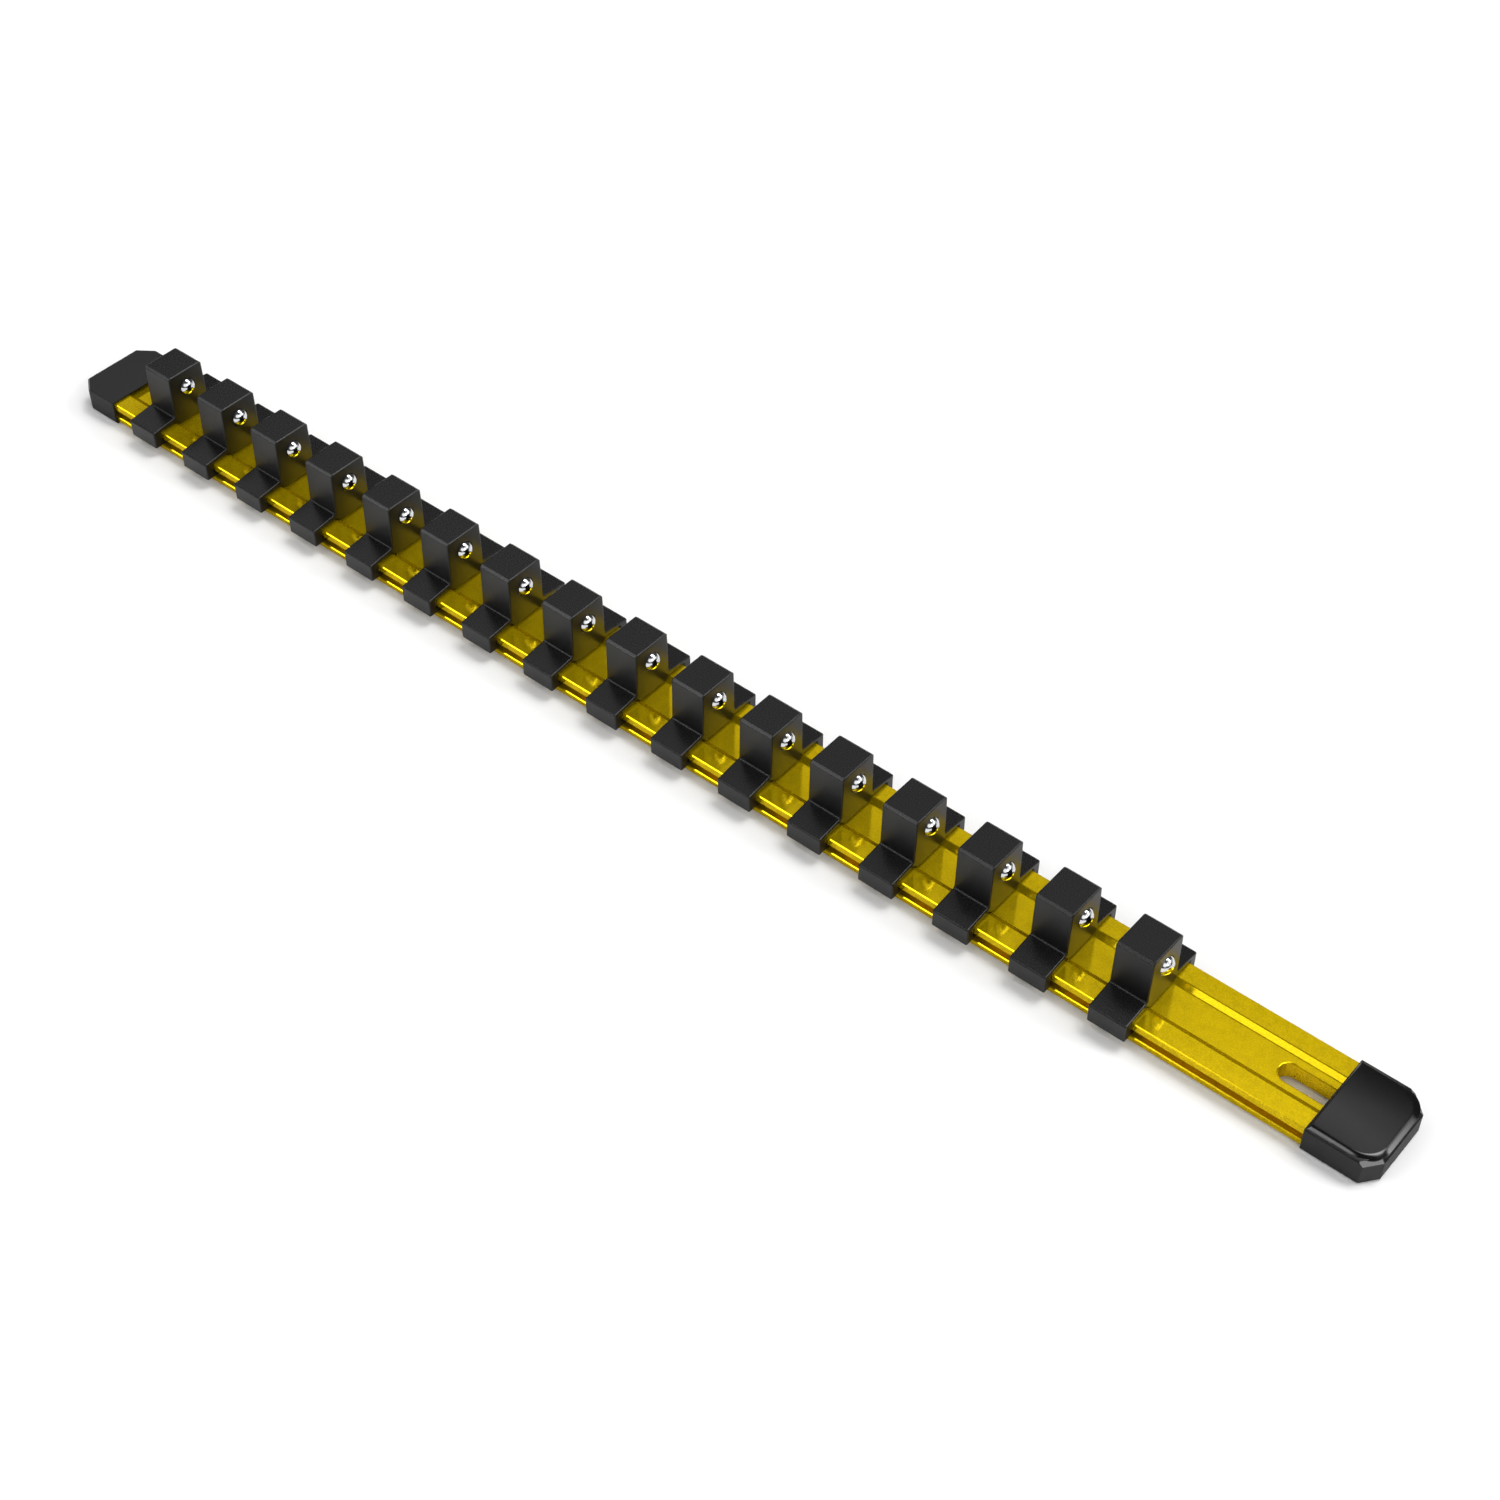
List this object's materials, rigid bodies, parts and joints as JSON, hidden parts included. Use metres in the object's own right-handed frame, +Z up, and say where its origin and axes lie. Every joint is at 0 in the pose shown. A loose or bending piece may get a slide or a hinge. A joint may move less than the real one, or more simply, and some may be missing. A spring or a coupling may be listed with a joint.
{
  "type": "socket rail",
  "caption": "Flat anodised aluminium bar with a row of sliding moulded clips, each with a square post and a sprung ball that holds a half-inch-drive socket, and an end cap on each end.",
  "frame": {"origin": "middle of the whole rail, at the level that its end caps stand on", "axes": "+X along the bar towards the end with the slot, +Y across the bar, +Z up along the posts"},
  "size_m": [0.4474, 0.0304, 0.0231],
  "materials": {
    "yellow_anodised_aluminium": "satin, dyed yellow anodising",
    "black_moulded_plastic": "semi-gloss black moulding",
    "chromed_steel": "polished",
    "spring_steel": "drawn wire"
  },
  "bodies": {
    "bar": {"rail": "yellow_anodised_aluminium"},
    "clip_01_body": {"clip_01": "black_moulded_plastic", "detent_spring_01": "spring_steel"},
    "clip_02_body": {"clip_02": "black_moulded_plastic", "detent_spring_02": "spring_steel"},
    "clip_03_body": {"clip_03": "black_moulded_plastic", "detent_spring_03": "spring_steel"},
    "clip_04_body": {"clip_04": "black_moulded_plastic", "detent_spring_04": "spring_steel"},
    "clip_05_body": {"clip_05": "black_moulded_plastic", "detent_spring_05": "spring_steel"},
    "clip_06_body": {"clip_06": "black_moulded_plastic", "detent_spring_06": "spring_steel"},
    "clip_07_body": {"clip_07": "black_moulded_plastic", "detent_spring_07": "spring_steel"},
    "clip_08_body": {"clip_08": "black_moulded_plastic", "detent_spring_08": "spring_steel"},
    "clip_09_body": {"clip_09": "black_moulded_plastic", "detent_spring_09": "spring_steel"},
    "clip_10_body": {"clip_10": "black_moulded_plastic", "detent_spring_10": "spring_steel"},
    "clip_11_body": {"clip_11": "black_moulded_plastic", "detent_spring_11": "spring_steel"},
    "clip_12_body": {"clip_12": "black_moulded_plastic", "detent_spring_12": "spring_steel"},
    "clip_13_body": {"clip_13": "black_moulded_plastic", "detent_spring_13": "spring_steel"},
    "clip_14_body": {"clip_14": "black_moulded_plastic", "detent_spring_14": "spring_steel"},
    "clip_15_body": {"clip_15": "black_moulded_plastic", "detent_spring_15": "spring_steel"},
    "clip_16_body": {"clip_16": "black_moulded_plastic", "detent_spring_16": "spring_steel"},
    "ball_01_body": {"detent_ball_01": "chromed_steel"},
    "ball_02_body": {"detent_ball_02": "chromed_steel"},
    "ball_03_body": {"detent_ball_03": "chromed_steel"},
    "ball_04_body": {"detent_ball_04": "chromed_steel"},
    "ball_05_body": {"detent_ball_05": "chromed_steel"},
    "ball_06_body": {"detent_ball_06": "chromed_steel"},
    "ball_07_body": {"detent_ball_07": "chromed_steel"},
    "ball_08_body": {"detent_ball_08": "chromed_steel"},
    "ball_09_body": {"detent_ball_09": "chromed_steel"},
    "ball_10_body": {"detent_ball_10": "chromed_steel"},
    "ball_11_body": {"detent_ball_11": "chromed_steel"},
    "ball_12_body": {"detent_ball_12": "chromed_steel"},
    "ball_13_body": {"detent_ball_13": "chromed_steel"},
    "ball_14_body": {"detent_ball_14": "chromed_steel"},
    "ball_15_body": {"detent_ball_15": "chromed_steel"},
    "ball_16_body": {"detent_ball_16": "chromed_steel"},
    "near_cap": {"end_cap_near": "black_moulded_plastic"},
    "far_cap": {"end_cap_far": "black_moulded_plastic"}
  },
  "joints": [
    {"name": "clip_01_slide", "type": "slide", "parent": "bar", "child": "clip_01_body", "axis": [1, 0, 0], "range_m": [-0.0101, 0.0101]},
    {"name": "clip_02_slide", "type": "slide", "parent": "bar", "child": "clip_02_body", "axis": [1, 0, 0], "range_m": [-0.0101, 0.0101]},
    {"name": "clip_03_slide", "type": "slide", "parent": "bar", "child": "clip_03_body", "axis": [1, 0, 0], "range_m": [-0.0101, 0.0101]},
    {"name": "clip_04_slide", "type": "slide", "parent": "bar", "child": "clip_04_body", "axis": [1, 0, 0], "range_m": [-0.0101, 0.0101]},
    {"name": "clip_05_slide", "type": "slide", "parent": "bar", "child": "clip_05_body", "axis": [1, 0, 0], "range_m": [-0.0101, 0.0101]},
    {"name": "clip_06_slide", "type": "slide", "parent": "bar", "child": "clip_06_body", "axis": [1, 0, 0], "range_m": [-0.0101, 0.0101]},
    {"name": "clip_07_slide", "type": "slide", "parent": "bar", "child": "clip_07_body", "axis": [1, 0, 0], "range_m": [-0.0101, 0.0101]},
    {"name": "clip_08_slide", "type": "slide", "parent": "bar", "child": "clip_08_body", "axis": [1, 0, 0], "range_m": [-0.0101, 0.0101]},
    {"name": "clip_09_slide", "type": "slide", "parent": "bar", "child": "clip_09_body", "axis": [1, 0, 0], "range_m": [-0.0101, 0.0101]},
    {"name": "clip_10_slide", "type": "slide", "parent": "bar", "child": "clip_10_body", "axis": [1, 0, 0], "range_m": [-0.0101, 0.0101]},
    {"name": "clip_11_slide", "type": "slide", "parent": "bar", "child": "clip_11_body", "axis": [1, 0, 0], "range_m": [-0.0101, 0.0101]},
    {"name": "clip_12_slide", "type": "slide", "parent": "bar", "child": "clip_12_body", "axis": [1, 0, 0], "range_m": [-0.0101, 0.0101]},
    {"name": "clip_13_slide", "type": "slide", "parent": "bar", "child": "clip_13_body", "axis": [1, 0, 0], "range_m": [-0.0101, 0.0101]},
    {"name": "clip_14_slide", "type": "slide", "parent": "bar", "child": "clip_14_body", "axis": [1, 0, 0], "range_m": [-0.0101, 0.0101]},
    {"name": "clip_15_slide", "type": "slide", "parent": "bar", "child": "clip_15_body", "axis": [1, 0, 0], "range_m": [-0.0101, 0.0101]},
    {"name": "clip_16_slide", "type": "slide", "parent": "bar", "child": "clip_16_body", "axis": [1, 0, 0], "range_m": [-0.0101, 0.0445]},
    {"name": "ball_01_press", "type": "slide", "parent": "clip_01_body", "child": "ball_01_body", "axis": [1, 0, 0], "range_m": [-0.0018, 0], "stiffness_N_per_m": 2000, "deforming": ["detent_spring_01"]},
    {"name": "ball_02_press", "type": "slide", "parent": "clip_02_body", "child": "ball_02_body", "axis": [1, 0, 0], "range_m": [-0.0018, 0], "stiffness_N_per_m": 2000, "deforming": ["detent_spring_02"]},
    {"name": "ball_03_press", "type": "slide", "parent": "clip_03_body", "child": "ball_03_body", "axis": [1, 0, 0], "range_m": [-0.0018, 0], "stiffness_N_per_m": 2000, "deforming": ["detent_spring_03"]},
    {"name": "ball_04_press", "type": "slide", "parent": "clip_04_body", "child": "ball_04_body", "axis": [1, 0, 0], "range_m": [-0.0018, 0], "stiffness_N_per_m": 2000, "deforming": ["detent_spring_04"]},
    {"name": "ball_05_press", "type": "slide", "parent": "clip_05_body", "child": "ball_05_body", "axis": [1, 0, 0], "range_m": [-0.0018, 0], "stiffness_N_per_m": 2000, "deforming": ["detent_spring_05"]},
    {"name": "ball_06_press", "type": "slide", "parent": "clip_06_body", "child": "ball_06_body", "axis": [1, 0, 0], "range_m": [-0.0018, 0], "stiffness_N_per_m": 2000, "deforming": ["detent_spring_06"]},
    {"name": "ball_07_press", "type": "slide", "parent": "clip_07_body", "child": "ball_07_body", "axis": [1, 0, 0], "range_m": [-0.0018, 0], "stiffness_N_per_m": 2000, "deforming": ["detent_spring_07"]},
    {"name": "ball_08_press", "type": "slide", "parent": "clip_08_body", "child": "ball_08_body", "axis": [1, 0, 0], "range_m": [-0.0018, 0], "stiffness_N_per_m": 2000, "deforming": ["detent_spring_08"]},
    {"name": "ball_09_press", "type": "slide", "parent": "clip_09_body", "child": "ball_09_body", "axis": [1, 0, 0], "range_m": [-0.0018, 0], "stiffness_N_per_m": 2000, "deforming": ["detent_spring_09"]},
    {"name": "ball_10_press", "type": "slide", "parent": "clip_10_body", "child": "ball_10_body", "axis": [1, 0, 0], "range_m": [-0.0018, 0], "stiffness_N_per_m": 2000, "deforming": ["detent_spring_10"]},
    {"name": "ball_11_press", "type": "slide", "parent": "clip_11_body", "child": "ball_11_body", "axis": [1, 0, 0], "range_m": [-0.0018, 0], "stiffness_N_per_m": 2000, "deforming": ["detent_spring_11"]},
    {"name": "ball_12_press", "type": "slide", "parent": "clip_12_body", "child": "ball_12_body", "axis": [1, 0, 0], "range_m": [-0.0018, 0], "stiffness_N_per_m": 2000, "deforming": ["detent_spring_12"]},
    {"name": "ball_13_press", "type": "slide", "parent": "clip_13_body", "child": "ball_13_body", "axis": [1, 0, 0], "range_m": [-0.0018, 0], "stiffness_N_per_m": 2000, "deforming": ["detent_spring_13"]},
    {"name": "ball_14_press", "type": "slide", "parent": "clip_14_body", "child": "ball_14_body", "axis": [1, 0, 0], "range_m": [-0.0018, 0], "stiffness_N_per_m": 2000, "deforming": ["detent_spring_14"]},
    {"name": "ball_15_press", "type": "slide", "parent": "clip_15_body", "child": "ball_15_body", "axis": [1, 0, 0], "range_m": [-0.0018, 0], "stiffness_N_per_m": 2000, "deforming": ["detent_spring_15"]},
    {"name": "ball_16_press", "type": "slide", "parent": "clip_16_body", "child": "ball_16_body", "axis": [1, 0, 0], "range_m": [-0.0018, 0], "stiffness_N_per_m": 2000, "deforming": ["detent_spring_16"]},
    {"name": "near_cap_pull", "type": "slide", "parent": "bar", "child": "near_cap", "axis": [1, 0, 0], "range_m": [0, 0.014]},
    {"name": "far_cap_pull", "type": "slide", "parent": "bar", "child": "far_cap", "axis": [-1, 0, 0], "range_m": [0, 0.011]}
  ]
}
